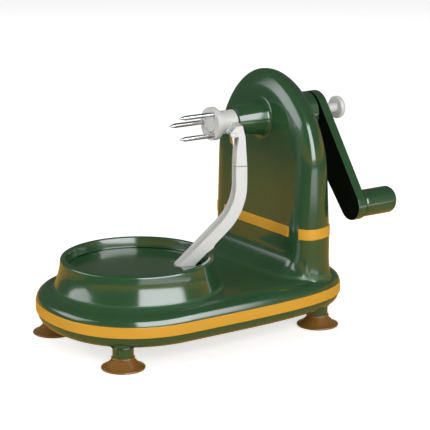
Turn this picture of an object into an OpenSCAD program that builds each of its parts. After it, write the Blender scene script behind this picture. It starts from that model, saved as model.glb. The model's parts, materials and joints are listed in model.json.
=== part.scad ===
// Hand-cranked peeler
// The crank turns a fork. Gears in the tower and the base turn a table very slowly, and a sprung arm on that
// table carries the blade round what the fork holds.
// Millimetres, +Z up. The table top is z = 0, and the crank end of the peeler is +X.

/* [Base] */
// Turntable axis to the front edge of the base
base_front = 49.4; // [48:0.2:56]
// Back of the tower to the rear edge of the base
rear_ledge = 14; // [12:0.2:24]
// Half of the base's width
base_half_w = 50; // [49:0.5:58]
// Squareness of the outline's front end
front_power = 2.2; // [2:0.1:2.8]
// Squareness of the outline's rear end
rear_power = 4.1; // [2.8:0.1:5]
// Table to the underside of the base
tray_z = 11; // [9:0.5:14]
// Depth of the tray below the trim band
tray_h = 5.7; // [5:0.1:8]
// How far the tray draws in at its underside
tray_in = 4.6; // [2:0.2:6]
// Height of the trim bands
band_h = 5.6; // [4.6:0.2:7]
// How far the trim bands stand proud
band_proud = 0.25; // [0:0.05:0.6]
// Depth of the grooves that the trim bands sit in
band_depth = 1.5; // [1:0.1:1.8]
// Width of the rounded shoulder of the base
shoulder_w = 8.5; // [4:0.5:10]
// Height of the rounded shoulder of the base
shoulder_h = 6.3; // [5:0.1:8]
// Wall of the mouldings
wall = 2; // [1.8:0.1:2.6]

/* [Feet] */
// Front edge of the base to the front feet
front_foot_in = 19.9; // [17:0.1:26]
// Rear edge of the base to the rear feet
rear_foot_in = 19; // [18:0.1:30]
// Side of the base to a front foot
front_foot_side = 16.2; // [15:0.1:22]
// Side of the base to a rear foot
rear_foot_side = 17.5; // [16:0.1:22]
// Radius of a foot post
post_r = 5.2; // [4.4:0.1:6]
// Radius of a suction cup's rim
cup_r = 10.8; // [9:0.2:13]
// Height of a suction cup below its post
cup_h = 6; // [5:0.2:7]
// Radius of a suction cup's stud
stud_r = 2.5; // [2:0.1:3]

/* [Drum and turntable] */
// Height of the drum above the base
drum_h = 15.4; // [13:0.2:20]
// Radius of the drum at its foot
drum_foot_r = 41.4; // [40.5:0.2:44]
// Radius of the fillet round the drum's foot
drum_fillet = 2.4; // [0.8:0.1:3]
// Radius of the drum at its rim
drum_rim_r = 38.6; // [38:0.2:40]
// Depth of the hollow in the drum's wall
drum_hollow = 0.6; // [0:0.05:0.8]
// Radius of the turntable disc
disc_r = 36; // [35:0.2:36.6]
// Rim of the drum down to the disc
disc_drop = 5.5; // [4.5:0.1:7]
// Thickness of the disc
disc_t = 3; // [2:0.2:4]
// How far the drum's ledge reaches over the disc
ledge = 1; // [0.6:0.1:1.4]
// Radius of the turntable's post
pivot_r = 4; // [3:0.2:5]
// Radius of the turntable's hub
hub_r = 7; // [6.4:0.2:8]

/* [Tower] */
// Turntable axis to the tower's front face
tower_front = 73; // [71:0.5:76]
// Depth of the tower from front to back
tower_depth = 21.7; // [21:0.1:24]
// Half of the tower's width
tower_half_w = 41.5; // [36:0.5:42]
// Table to the tower's top
tower_top = 131; // [126:0.5:140]
// Table to the foot of the tower's arch
arch_z = 83; // [70:0.5:84]
// Squareness of the arch
arch_power = 1.9; // [1.8:0.05:2.6]
// Tower's front face to the seam between the housing and its back cover
seam_depth = 7.6; // [7:0.1:11]
// Width of the rounding along the tower's front edges
tower_front_r = 12; // [6:0.2:14]
// Width of the rounding along the tower's rear edges
tower_rear_r = 8.6; // [7:0.2:11]
// How far the front face leans back at the top
front_lean = 3.8; // [0:0.1:5]
// How far the rear face leans forward at the top
rear_lean = 5.2; // [0:0.1:5.4]
// Table to the joint between the tower and its foot
tower_joint_z = 48.7; // [46:0.2:52]
// Reach of the flared foot to the front
flare_front = 11; // [6:0.5:14]
// Reach of the flared foot to the sides and back
flare_side = 3; // [1:0.2:3]
// Height of the flared foot
flare_h = 14; // [10:0.5:16]
// Width of the trim on the tower's front
front_strip_w = 57.4; // [44:0.2:62]
// Gap between the trim on the front and the trim round the sides
strip_gap = 7; // [2:0.1:10]
// Length of the nose cone
nose_l = 17.4; // [14:0.2:20]
// Radius of the nose cone at its tip
nose_tip_r = 7.2; // [6.8:0.1:8]
// Radius of the nose cone at the tower
nose_root_r = 9.4; // [9:0.1:11]
// Radius of the fillet between the nose cone and the tower
nose_fillet = 2.2; // [0.8:0.1:3]
// Radius of the boss behind the tower
boss_r = 10.5; // [9.5:0.1:12]
// Length of the boss behind the tower
boss_l = 14.8; // [12:0.2:18]

/* [Spindle and fork] */
// Table to the spindle
spindle_z = 106; // [102:0.5:108]
// Radius of the spindle at the fork
spindle_r = 3; // [2.6:0.1:3.2]
// Radius of the spindle at the crank
spindle_rear_r = 4; // [3.6:0.1:4.4]
// Radius of the fork's hub
fork_r = 6; // [5.2:0.1:6.6]
// Length of the fork's hub
fork_l = 13.8; // [11:0.2:16]
// Radius of the fork's flange
flange_r = 8.5; // [8:0.1:9]
// Thickness of the fork's flange
flange_t = 3; // [2.8:0.1:4]
// Number of tines
tine_count = 3; // [3:1:4]
// Radius of the circle of tines
tine_circle_r = 6.2; // [6:0.1:6.6]
// Radius of a tine
tine_r = 1.2; // [0.9:0.1:1.4]
// Length of a tine
tine_l = 21; // [16:0.5:24]

/* [Crank] */
// Gap between the boss and the crank
crank_gap = 1.5; // [0.6:0.1:2.5]
// Spindle to the grip
crank_l = 56.5; // [50:0.5:66]
// Thickness of the crank arm
crank_t = 5; // [4:0.2:7]
// Radius of the crank arm at the spindle
crank_hub_r = 10.5; // [9:0.1:12]
// Radius of the crank arm at the grip
crank_tip_r = 7.8; // [7:0.1:9]
// Angle of the crank at rest, from +Y towards +Z
crank_rest = 231.2; // [0:0.2:360]
// Radius of the grip
grip_r = 7; // [6:0.1:8]
// Gap between the crank and the grip
grip_gap = 0.8; // [0.5:0.1:1.5]
// Length of the grip
grip_l = 21.7; // [15:0.1:24]
// Radius of the grip's pin
grip_pin_r = 2.5; // [2:0.1:3]

/* [Ejector] */
// Radius of the ejector's rod
rod_r = 1.4; // [1.2:0.1:1.5]
// Radius of the ejector's stem
stem_r = 2.5; // [2.3:0.1:2.6]
// Crank to the button's near face
stem_l = 12; // [9.5:0.1:14]
// Radius of the button
button_r = 6; // [4.6:0.1:7]
// Thickness of the button
button_t = 4; // [3:0.1:5]
// Radius of the plate that clears the tines
plate_r = 4.2; // [3.8:0.1:4.4]
// Thickness of the plate that clears the tines
plate_t = 2.2; // [1.6:0.1:2.4]
// Wire of the ejector's spring
ejector_wire = 0.45; // [0.4:0.05:0.5]
// Turns of the ejector's spring
ejector_turns = 6; // [4:1:7]

/* [Peeling arm] */
// Turn of the arm about the turntable axis at rest, from +X
arm_turn = -22.7; // [-60:0.1:-22]
// Turntable axis to the arm's pin
arm_pin_rho = 17.2; // [16.6:0.1:18]
// Disc's top down to the arm's pin
arm_pin_drop = 7.5; // [7.5:0.1:8]
// Slope of the arm's lower half
arm_slope = 45; // [42:1:50]
// Turntable axis to the arm's upright
arm_rho = 52.5; // [50:0.5:56]
// Radius of the arm's bend
arm_bend_r = 30.5; // [24:0.5:36]
// Thickness of the arm
arm_t = 5.7; // [5:0.1:6.2]
// Width of the arm
arm_w = 10; // [9:0.2:10.6]
// Depth of the channel in the arm's inner face
channel_d = 3.4; // [1.5:0.1:3.8]
// Width of the channel in the arm's inner face
channel_w = 6; // [4:0.2:7]
// Radius of the arm's pin
arm_pin_r = 1.5; // [1.2:0.1:1.8]
// Radius of the arm's knuckle
knuckle_r = 4.2; // [3.8:0.1:4.4]
// Wire of the arm's spring
arm_wire = 0.6; // [0.5:0.05:0.7]
// Turns of the arm's spring
arm_spring_turns = 2; // [1.5:0.5:2.5]
// Table to the joint between the arm and its head
head_z = 88; // [86:0.5:90]
// Gap between the arm and its head
head_gap = 0.35; // [0:0.05:0.5]
// Height of the blade head
head_h = 20.7; // [20:0.1:23]
// Blade's pivot to its edge
blade_l = 5.6; // [4.6:0.1:6]
// Radius of the blade's rolled pivot
blade_roll_r = 1.1; // [0.9:0.05:1.2]
// Radius of the blade's end pins
blade_pin_r = 0.7; // [0.5:0.05:0.8]

/* [Gears] */
// Teeth of the bevel gears
bevel_teeth = 14; // [14:2:14]
// Module of the bevel gears
bevel_module = 1; // [0.95:0.01:1.02]
// Teeth of each pinion
pinion_teeth = 12; // [12:1:13]
// Teeth of each idler wheel
idler_teeth = 38; // [36:1:40]
// Teeth of the turntable gear
table_teeth = 58; // [54:1:60]
// Thickness of the spur gears
gear_t = 3; // [2.6:0.1:3.2]
// Gap between the layers of gears
layer_gap = 0.6; // [0.4:0.1:0.8]
// Pressure angle of the teeth
pressure = 25; // [24:0.5:26]
// Play between two teeth
backlash = 0.16; // [0.1:0.02:0.24]
// Radius of the idler gears' axles
axle_r = 2; // [1.8:0.1:2.2]
// Radius of the upright shaft
shaft_r = 2.5; // [2.2:0.1:2.6]

/* [Fits] */
// Clearance of a turning shaft in its bore
running = 0.06; // [0.02:0.01:0.1]
// Clearance of a piece that is pressed or screwed in place
seat = 0.03; // [0.01:0.01:0.05]
// Clearance between faces that pass each other
pass = 0.3; // [0.2:0.05:0.5]

/* [Hidden] */
$fn = 64;
plan_n = 96;
round_n = 6;
corner_n = 10;
over = 1;

// Heights of the base, from the table up
floor_z = tray_z + wall;
band_z = tray_z + tray_h;
band_top = band_z + band_h;
base_top = band_top + shoulder_h;
roof_z = base_top - wall;
drum_top = base_top + drum_h;
disc_z = drum_top - disc_drop;
ledge_z = disc_z + pass;
opening_r = disc_r + pass;
lip_r = disc_r - ledge;

// Places along the spindle
tower_rear = tower_front + tower_depth;
base_rear = tower_rear + rear_ledge;
seam_x = tower_front + seam_depth;
shaft_x = tower_front + tower_depth / 2;
nose_root = front_at(spindle_z);
nose_x = nose_root - nose_l;
boss_root = rear_at(spindle_z);
boss_x = boss_root + boss_l;
crank_x = boss_x + crank_gap;
crank_face = crank_x + crank_t;
crank_back = 1.2;
flat = 0.8;
grip_x = crank_face + grip_gap;
grip_end = grip_x + grip_l;
grip_wall = 4;
bead = 0.4;
bead_z = grip_l - grip_wall - 3 * bead;
button_x = crank_face + stem_l;
rod_seat = 4;
fork_rear = nose_x - pass;
fork_front = fork_rear - fork_l;
tine_seat = 2;
plate_recess = plate_t + pass;
plate_face = 0.8;
spindle_front = fork_front + plate_recess;
bevel_back = 11;
shoulder_x = shaft_x + bevel_back;
spring_x = shoulder_x + 1.2;
spring_l = 12;
stem_front = spring_x + spring_l;
bush_wall = 2.5;
gear_room = bevel_teeth * bevel_module / 2 + bevel_module;
pocket_x = shaft_x - gear_room;
rear_bush_r = spindle_rear_r + 2;
rear_bush_l = 6.5;
lean_angle = atan(front_lean / (tower_top - tower_joint_z));

// The middle of the whole peeler, front edge of the base to the outermost end behind the crank
frame_x = (max(grip_end, button_x + button_t) - base_front - band_proud) / 2;

// Upright layers of the gears in the base
gear_step = 0.1;
bore_floor = 0.8;
layer_a = floor_z + 1;
layer_b = layer_a + gear_t + layer_gap;
layer_c = layer_b + gear_t + layer_gap;
hub_z = layer_c;

// The train fills the distance from the turntable to the upright shaft, a little out of line
train_slack = 1.015;
train_teeth = (3 * pinion_teeth + 2 * idler_teeth + table_teeth) / 2;
tooth_module = train_slack * shaft_x / train_teeth;
reach_a = tooth_module * (pinion_teeth + idler_teeth) / 2;
reach_c = tooth_module * (pinion_teeth + table_teeth) / 2;
train_turn = 9;
idler_b = reach_c * [cos(train_turn), sin(train_turn)];
shaft_at = [shaft_x, 0];
half_gap = (shaft_at - idler_b) / 2;
idler_rise = sqrt(max(0, reach_a * reach_a - half_gap * half_gap));
across = [half_gap[1], -half_gap[0]] / norm(half_gap);
idler_a = idler_b + half_gap + across * idler_rise;

// Screws: shank radius, head radius and head thickness
screw_r = 1.4;
head_r = 2.7;
head_t = 1.5;
head_sink = 0.6;
tray_screw_l = roof_z - tray_z - head_sink - 2 * wall;
boss_wall = 2.1;
tray_screw_front = [-10, base_half_w - 11.5];
tray_screw_rear = [tower_front - 8, base_half_w - 14];
tray_screw_at = [for (at = [tray_screw_front, tray_screw_rear], side = [1, -1]) [at[0], side * at[1]]];
cover_screw_low = [27, tower_joint_z + 13.3];
cover_screw_high = [19, spindle_z - 8];
cover_screw_at = [for (at = [cover_screw_low, cover_screw_high], side = [1, -1]) [side * at[0], at[1]]];
bracket_screw_at = [[14, 0], [-14, 0]];
screw_circle = 11;
table_screw_at = [for (k = [0:2]) screw_circle * [cos(120 * k + 60), sin(120 * k + 60)]];
hub_flange_t = 2.6;
hub_flange_r = screw_circle + head_r + pass;
bracket_z = spindle_z - 20;
bracket_h = 5;
bracket_wall = 3.5;
bracket_x = shaft_x - 2 * shaft_r;
bracket_ear_t = 3;
front_foot = [front_foot_in - base_front, base_half_w - front_foot_side];
rear_foot = [base_rear - rear_foot_in, base_half_w - rear_foot_side];
feet = [for (at = [front_foot, rear_foot], side = [1, -1]) [at[0], side * at[1]]];

// The blade hangs on its pivot in front of the head
pivot_rho = arm_rho - 3.9;
pivot_z = head_z + head_h - 4.3;
ear_t = 2.6;
ear_r = 4.6;
cheek_t = 1.3;
arm_pin_z = disc_z - arm_pin_drop;

// Tongue of the arm that its head is pushed onto
tongue_l = 5;
head_bend = 5.7;
heel_rise = 3.6;
tongue_t = 2.4;
tongue_w = arm_w - 5;

// Colours
green = [0.12, 0.28, 0.17];
amber = [0.86, 0.62, 0.18];
rubber_amber = [0.72, 0.52, 0.26];
white = [0.92, 0.92, 0.9];
steel = [0.75, 0.76, 0.78];
nylon = [0.86, 0.85, 0.8];
bronze = [0.72, 0.55, 0.3];

// Points on an arc, angles in degrees
function arc(x, y, r, from, to, n = round_n) =
    [for (i = [0:n]) let (t = from + (to - from) * i / n) [x + r * cos(t), y + r * sin(t)]];

function signed_pow(v, e) = sign(v) * pow(abs(v), e);

// Outline of the base drawn in by d: a superellipse at each end of the turntable's cross line
function base_plan(d) = [for (k = [0:plan_n - 1])
    let (t = 360 * k / plan_n, c = cos(t), s = sin(t))
    let (e = 2 / (c < 0 ? front_power : rear_power), a = c < 0 ? base_front : base_rear)
    [(a - d) * signed_pow(c, e), (base_half_w - d) * signed_pow(s, e)]];

// Plan of the tower at its joint, grown by f to the front and s to the sides and back
function tower_plan(f, s) =
    let (df = seam_depth + f, dr = tower_rear + s - seam_x, rf = tower_front_r + f, rr = tower_rear_r + s)
    let (wf = tower_half_w + s - rf, wr = tower_half_w + s - rr, n = corner_n)
    concat(
        corner(wr, dr, rr, 0, [0:n]), corner(wf, df, rf, 90, [1:n]),
        corner(-wf, df, rf, 180, [0:n - 1]), corner(-wr, dr, rr, 270, [0:n]));

// Quarter of an ellipse about the seam, dx along the spindle and dy across it, centred at y
function corner(y, dx, dy, from, steps) =
    [for (i = steps) let (t = from + 90 * i / corner_n) [seam_x + dx * cos(t), y + dy * sin(t)]];

function tower_ring(o) = tower_plan(o, o);

// How far up the tower z lies, from 0 at the joint to 1 at the top
function up_tower(z) = (z - tower_joint_z) / (tower_top - tower_joint_z);

// The leaning faces at height z
function front_at(z) = tower_front + front_lean * up_tower(z);
function rear_at(z) = tower_rear - rear_lean * up_tower(z);

// A ring of points at x, of which the faces are drawn in by d, leaned towards the seam
function leaned(points, d) = [for (p = points)
    let (x = p[0] - seam_x, face = x < 0 ? d - seam_depth : tower_rear - d - seam_x)
    let (lean = x < 0 ? front_lean : -rear_lean)
    p + [lean * up_tower(p[2]) * x / face, 0, 0]];

// Arched outline of the tower across the spindle, drawn in by d, with its foot at z
function arch(d, z) =
    let (w = tower_half_w - d, h = tower_top - arch_z - d, e = 2 / arch_power, n = 40)
    concat([[-w, z], [w, z]],
        [for (i = [0:n]) let (t = 180 * i / n) [w * signed_pow(cos(t), e), arch_z + h * pow(sin(t), e)]]);

function level(points, z) = [for (p = points) [p[0], p[1], z]];
function upright(points, x) = [for (p = points) [x, p[0], p[1]]];

// Arches from a face to the seam, of which the rounding is r wide and reaches x from the seam, drawn in by d
function edge_arches(x, r, d, z) = [for (i = [0:corner_n])
    let (t = 90 * i / corner_n, side = sign(x))
    leaned(upright(arch(d + (r - d) * (1 - sin(t)), z), seam_x + (x - side * d) * cos(t)), d)];
function front_arches(d, z) = edge_arches(-seam_depth, tower_front_r, d, z);
function rear_arches(d, z) =
    let (rings = edge_arches(tower_rear - seam_x, tower_rear_r, d, z))
    [for (i = [corner_n:-1:0]) rings[i]];

// Closed skin over rings with the same number of points, with a flat cap at each end
module skin(rings) {
    n = len(rings[0]);
    m = len(rings);
    polyhedron(
        points = [for (r = rings) each r],
        faces = concat(
            [[for (k = [0:n - 1]) k]],
            [for (i = [0:m - 2], k = [0:n - 1])
                let (a = i * n + k, b = i * n + (k + 1) % n)
                each [[a, a + n, b], [b, a + n, b + n]]],
            [[for (k = [n - 1:-1:0]) (m - 1) * n + k]]));
}

// Round wire wound on a helix about +Z
function coil(r, h, turns, wire) = [for (i = [0:12 * turns])
    let (t = 30 * i, p = [r * cos(t), r * sin(t), wire / 2 + (h - wire) * i / (12 * turns)])
    [for (k = [0:5]) p + wire / 2 * (cos(60 * k) * [cos(t), sin(t), 0] - sin(60 * k) * [0, 0, 1])]];

// Gap between neighbouring turns of a spring
function coil_gap(h, turns, wire) = (h - wire) / turns - wire;

module in_frame() {
    translate([-frame_x, 0, 0]) children();
}

// +Z of the children points along +X on the spindle, at x
module on_spindle(x) {
    translate([x, 0, spindle_z]) rotate([0, 90, 0]) children();
}

module rod(x0, x1, r) {
    on_spindle(x0) cylinder(h = x1 - x0, r = r);
}

// A flat outline across the spindle, drawn in (y, z), from x0 to x1
module across_spindle(x0, x1) {
    translate([x0, 0, spindle_z]) rotate([90, 0, 90]) linear_extrude(x1 - x0) children();
}

module post(at, z0, z1, r) {
    translate([at[0], at[1], z0]) cylinder(h = z1 - z0, r = r);
}

// The upright plane of the arm: x out from the turntable axis, y across the arm
module in_arm_plane() {
    rotate([0, 0, arm_turn]) children();
}

// An outline drawn in (rho, z), as wide as w across the arm and centred at y
module arm_slab(w, y = 0) {
    translate([0, y + w / 2, 0]) rotate([90, 0, 0]) linear_extrude(w) children();
}

module arm_pin_cylinder(r, y0, y1) {
    translate([arm_pin_rho, y0, arm_pin_z]) rotate([-90, 0, 0]) cylinder(h = y1 - y0, r = r);
}

module screw(shank) {
    cylinder(h = shank, r = screw_r);
    translate([0, 0, -head_t]) cylinder(h = head_t, r = head_r);
}

// Involute gears

function involute(a) = tan(a) * 180 / PI - a;

// Half the angle of a tooth at radius r, on a gear of n teeth and pitch radius p
function tooth_half(n, p, r, play) =
    let (base = p * cos(pressure), a = acos(min(1, base / r)))
    90 / n - play / 2 / p * 180 / PI / 2 + involute(pressure) - involute(a);

function flank(p, m, steps = 4) =
    let (low = max(p * cos(pressure), p - m), high = p + m)
    [for (i = [0:steps]) low + (high - low) * i / steps];

// One tooth as [radius, angle] pairs, from root to root
function tooth(n, p, m, play) =
    let (root = p - 1.25 * m, rs = flank(p, m))
    concat(
        [[root, -tooth_half(n, p, rs[0], play) - 1.5 / m / n * 10]],
        [for (r = rs) [r, -tooth_half(n, p, r, play)]],
        [for (i = [len(rs) - 1:-1:0]) [rs[i], tooth_half(n, p, rs[i], play)]],
        [[root, tooth_half(n, p, rs[0], play) + 1.5 / m / n * 10]]);

function gear_outline(n, m, turn) =
    let (one = tooth(n, n * m / 2, m, backlash))
    [for (k = [0:n - 1], q = one) let (t = turn + 360 * k / n + q[1]) q[0] * [cos(t), sin(t)]];

module spur(n, turn, z0, z1) {
    translate([0, 0, z0]) linear_extrude(z1 - z0) polygon(gear_outline(n, tooth_module, turn));
}

// Straight bevel gear about +Z with its apex at the origin, teeth on the 45 degree cone
function bevel_ring(scale, turn) =
    let (p = bevel_teeth * bevel_module / 2, q = p * sqrt(2))
    let (one = tooth(bevel_teeth * sqrt(2), q, bevel_module, backlash))
    [for (k = [0:bevel_teeth - 1], t = one)
        let (s = (t[0] - q) / sqrt(2), a = turn + 360 * k / bevel_teeth + t[1] * sqrt(2))
        scale * [(p + s) * cos(a), (p + s) * sin(a), p - s]];

module bevel(turn, bore) {
    p = bevel_teeth * bevel_module / 2;
    toe = 0.66;
    heel = bevel_ring(1, turn);
    core = p - 1.6 * bevel_module;
    face = (p + bevel_module) * toe;
    back = p + 0.9 * bevel_module;
    difference() {
        union() {
            skin([
                [for (v = heel) let (a = atan2(v[1], v[0]), r = core * toe)
                    [r * cos(a), r * sin(a), face]],
                bevel_ring(toe, turn),
                heel,
                [for (v = heel) let (a = atan2(v[1], v[0])) [core * cos(a), core * sin(a), back]]]);
            translate([0, 0, back - 0.4]) cylinder(h = bevel_back - back + 0.4, r = core - 0.4);
        }
        cylinder(h = 40, r = bore, center = true);
    }
}

function turn_to(a, b) = atan2(b[1] - a[1], b[0] - a[0]);

// Base

module trim_ring() {
    difference() {
        polygon(base_plan(-band_proud));
        polygon(base_plan(band_depth));
    }
}

module base_bowl() {
    inner = [for (i = [round_n:-1:0]) let (t = 90 * i / round_n)
        level(base_plan(wall + shoulder_w * (1 - cos(t))), band_top + (shoulder_h - wall) * sin(t))];
    outer = [for (i = [0:round_n]) let (t = 90 * i / round_n)
        level(base_plan(shoulder_w * (1 - cos(t))), band_top + shoulder_h * sin(t))];
    skin(concat(inner, outer));
}

module drum_wall() {
    fillet = drum_fillet;
    lip = 1.6;
    foot = [drum_foot_r, base_top + fillet];
    rim = [drum_rim_r, drum_top - lip];
    hollow = [for (i = [1:round_n - 1]) let (t = i / round_n)
        foot + (rim - foot) * t - [4 * drum_hollow * t * (1 - t), 0]];
    rotate_extrude($fn = 96) polygon(concat(
        [[opening_r - over, base_top - wall], [drum_foot_r + fillet, base_top - wall / 2]],
        arc(drum_foot_r + fillet, base_top + fillet, fillet, 270, 200),
        hollow,
        arc(drum_rim_r - lip, drum_top - lip, lip, 4, 90),
        arc(lip_r + lip, drum_top - lip / 2, lip / 2, 90, 180),
        [[lip_r, drum_top - 2.5 * lip], [lip_r, ledge_z], [lip_r, base_top]]));
}

// Foot of the tower, flared by f to the front and s to the sides and back, rising from z
module tower_foot(f, s, z) {
    rings = [for (i = [0:corner_n]) let (t = 90 * i / corner_n, q = 1 - sin(t))
        level(tower_plan(f * q, s * q), z + flare_h * (1 - cos(t)))];
    skin(concat(
        [level(tower_plan(f, s), z - wall)],
        rings,
        [level(tower_ring(0), tower_joint_z)]));
}

module tower_well() {
    skin([level(tower_ring(-wall), band_top), level(tower_ring(-wall), tower_joint_z + over)]);
}

module base_top_shell() {
    color(green) in_frame() difference() {
        union() {
            base_bowl();
            drum_wall();
            tower_foot(flare_front, 0, base_top);
            tower_foot(flare_side, flare_side, roof_z - wall);
            for (at = tray_screw_at) post(at, floor_z, roof_z + over / 2, screw_r + boss_wall);
            post(idler_a, layer_c + pass, roof_z + over / 2, axle_r + boss_wall);
        }
        tower_well();
        translate([0, 0, floor_z]) cylinder(h = ledge_z - floor_z, r = opening_r, $fn = 96);
        translate([0, 0, floor_z]) cylinder(h = drum_top, r = lip_r, $fn = 96);
        for (at = tray_screw_at) post(at, floor_z - over, roof_z - over, screw_r + seat);
        post(idler_a, floor_z, roof_z - over, axle_r + seat);
    }
}

module base_tray() {
    lip_t = 1.5;
    rim_gap = 0.4;
    floor_in = rim_gap + tray_in + wall;
    outer = [for (i = [0:round_n]) let (t = 90 * i / round_n)
        level(base_plan(rim_gap + tray_in * (1 - sin(t))), tray_z + tray_h * (1 - cos(t)))];
    inner = [[band_depth, band_z], [band_depth, band_top], [band_depth + lip_t, band_top],
        [band_depth + lip_t, band_z], [floor_in, floor_z]];
    fillet = 0.8;
    color(green) in_frame() difference() {
        union() {
            skin(concat(outer, [for (q = inner) level(base_plan(q[0]), q[1])]));
            for (at = feet) translate([at[0], at[1], 0]) rotate_extrude() polygon(concat(
                [[0, cup_h], [post_r, cup_h]],
                arc(post_r + fillet, tray_z - fillet, fillet, 180, 90),
                [[post_r, tray_z], [post_r, floor_z], [0, floor_z]]));
            post(idler_a, tray_z + over, layer_a - gear_step, axle_r + boss_wall);
            post(idler_b, tray_z + over, layer_b - gear_step, axle_r + boss_wall);
            post(shaft_at, tray_z + over, layer_a - gear_step, shaft_r + boss_wall);
        }
        for (at = feet) post(at, 0, floor_z - bore_floor, stud_r + seat);
        for (at = [idler_a, idler_b]) post(at, tray_z + bore_floor, layer_c, axle_r + seat);
        post(shaft_at, floor_z - bore_floor, layer_b, shaft_r + running);
        post([0, 0], tray_z - over, floor_z + over, pivot_r + seat);
        for (at = tray_screw_at) {
            post(at, tray_z - over, floor_z + over, screw_r + seat);
            post(at, tray_z - over, tray_z + head_sink, head_r + seat);
        }
    }
}

module base_trim_band() {
    color(amber) in_frame() translate([0, 0, band_z]) linear_extrude(band_h) trim_ring();
}

module suction_cup(at) {
    rim = 1.2;
    neck_r = post_r + 0.3;
    color(rubber_amber) in_frame() translate([at[0], at[1], 0]) rotate_extrude() polygon(concat(
        [[cup_r - rim, 0], [cup_r, 0], [cup_r, 0.7]],
        [for (i = [1:round_n]) let (t = i / round_n)
            [cup_r + (neck_r - cup_r) * t, 0.7 + (cup_h - 0.7) * pow(t, 1.25)]],
        [[stud_r, cup_h], [stud_r, floor_z - 1], [0, floor_z - 1], [0, cup_h - 2.4]],
        [for (i = [1:round_n]) let (t = i / round_n)
            [(cup_r - rim) * t, (cup_h - 2.4) * (1 - t * t)]]));
}

module front_left_cup() {
    suction_cup(feet[0]);
}

module front_right_cup() {
    suction_cup(feet[1]);
}

module rear_left_cup() {
    suction_cup(feet[2]);
}

module rear_right_cup() {
    suction_cup(feet[3]);
}

module tray_screws() {
    color(steel) in_frame() for (at = tray_screw_at)
        translate([at[0], at[1], tray_z + head_sink]) screw(tray_screw_l);
}

// Tower

// Trim strips: one on the flat front, one round the sides and back
module front_strip(out) {
    intersection() {
        trim_ring_of_tower(out);
        front_window(0);
    }
}

module side_strip(out) {
    difference() {
        trim_ring_of_tower(out);
        front_window(strip_gap);
    }
}

// Plan of the strip on the tower's front, widened by gap on each side
module front_window(gap) {
    half = front_strip_w / 2 + gap;
    translate([tower_front - over, -half]) square([seam_depth, 2 * half]);
}

module trim_ring_of_tower(out) {
    difference() {
        polygon(tower_ring(out));
        polygon(tower_ring(-band_depth));
    }
}

module strip_groove() {
    translate([0, 0, tower_joint_z - over]) linear_extrude(band_h + over) {
        front_strip(over);
        side_strip(over);
    }
}

// Nose cone, with a fillet that follows the leaning face
module nose() {
    r = nose_root_r - (nose_root_r - nose_tip_r) * nose_fillet / nose_l + nose_fillet - seat;
    on_spindle(nose_x) cylinder(h = nose_l + wall / 2, r1 = nose_tip_r, r2 = nose_root_r);
    on_spindle(nose_root) rotate([0, lean_angle, 0]) rotate_extrude() polygon(concat(
        [[nose_tip_r, wall / 2], [r, wall / 2]],
        arc(r, -nose_fillet, nose_fillet, 90, 180),
        [[nose_tip_r, -nose_fillet]]));
}

module tower_housing() {
    color(green) in_frame() difference() {
        union() {
            difference() {
                skin(front_arches(0, tower_joint_z));
                skin(concat(front_arches(wall, tower_joint_z - over),
                    [upright(arch(wall, tower_joint_z - over), seam_x + over)]));
                strip_groove();
            }
            nose();
            for (at = cover_screw_at) screw_tube(at, front_at(at[1]) + wall / 2, seam_x);
            for (at = bracket_screw_at)
                screw_tube([at[0], bracket_z], front_at(bracket_z) + wall / 2, bracket_x);
        }
        rod(nose_x - over, seam_x, spindle_r + bush_wall + seat);
        rod(pocket_x, seam_x + over, gear_room + pass);
        for (at = cover_screw_at) screw_hole(at, front_at(at[1]) + wall, seam_x + over);
        for (at = bracket_screw_at) screw_hole([at[0], bracket_z], front_at(bracket_z) + wall, seam_x);
    }
}

module screw_tube(at, x0, x1) {
    translate([x0, at[0], at[1]]) rotate([0, 90, 0]) cylinder(h = x1 - x0, r = screw_r + boss_wall);
}

module screw_hole(at, x0, x1) {
    translate([x0, at[0], at[1]]) rotate([0, 90, 0]) cylinder(h = x1 - x0, r = screw_r + seat);
}

// Seat of a cover screw's head, sunk below the leaning rear face
function head_seat(at) = rear_at(at[1]) - head_t - 0.5;

module tower_back_cover() {
    cavity_r = boss_r - wall;
    color(green) in_frame() difference() {
        union() {
            difference() {
                skin(rear_arches(0, tower_joint_z));
                skin(concat([upright(arch(wall, tower_joint_z - over), seam_x - over)],
                    rear_arches(wall, tower_joint_z - over)));
                strip_groove();
            }
            rod(rear_at(spindle_z + boss_r) - wall / 2, boss_x, boss_r);
            for (at = cover_screw_at) screw_tube(at, seam_x, rear_at(at[1]) - wall / 2);
        }
        rod(seam_x, boss_x - rear_bush_l, cavity_r);
        rod(seam_x, boss_x + over, rear_bush_r + seat);
        for (at = cover_screw_at) {
            screw_hole(at, seam_x - over, tower_rear + over);
            translate([head_seat(at), at[0], at[1]]) rotate([0, 90, 0])
                cylinder(h = tower_rear - head_seat(at), r = head_r + seat);
        }
    }
}

module tower_front_trim() {
    color(amber) in_frame() translate([0, 0, tower_joint_z]) linear_extrude(band_h)
        front_strip(band_proud);
}

module tower_side_trim() {
    color(amber) in_frame() translate([0, 0, tower_joint_z]) linear_extrude(band_h)
        side_strip(band_proud);
}

module cover_screws() {
    color(steel) in_frame() for (at = cover_screw_at)
        translate([head_seat(at), at[0], at[1]]) rotate([0, -90, 0])
            screw(head_seat(at) - front_at(at[1]) - 1.5 * wall);
}

// Bearings and shafts

module front_bush() {
    color(bronze) in_frame() difference() {
        rod(nose_x, pocket_x, spindle_r + bush_wall);
        rod(nose_x - over, tower_rear, spindle_r + running);
    }
}

module rear_bush() {
    color(bronze) in_frame() difference() {
        rod(boss_x - rear_bush_l, boss_x, rear_bush_r);
        rod(tower_rear, boss_x + over, spindle_rear_r + running);
    }
}

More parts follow.
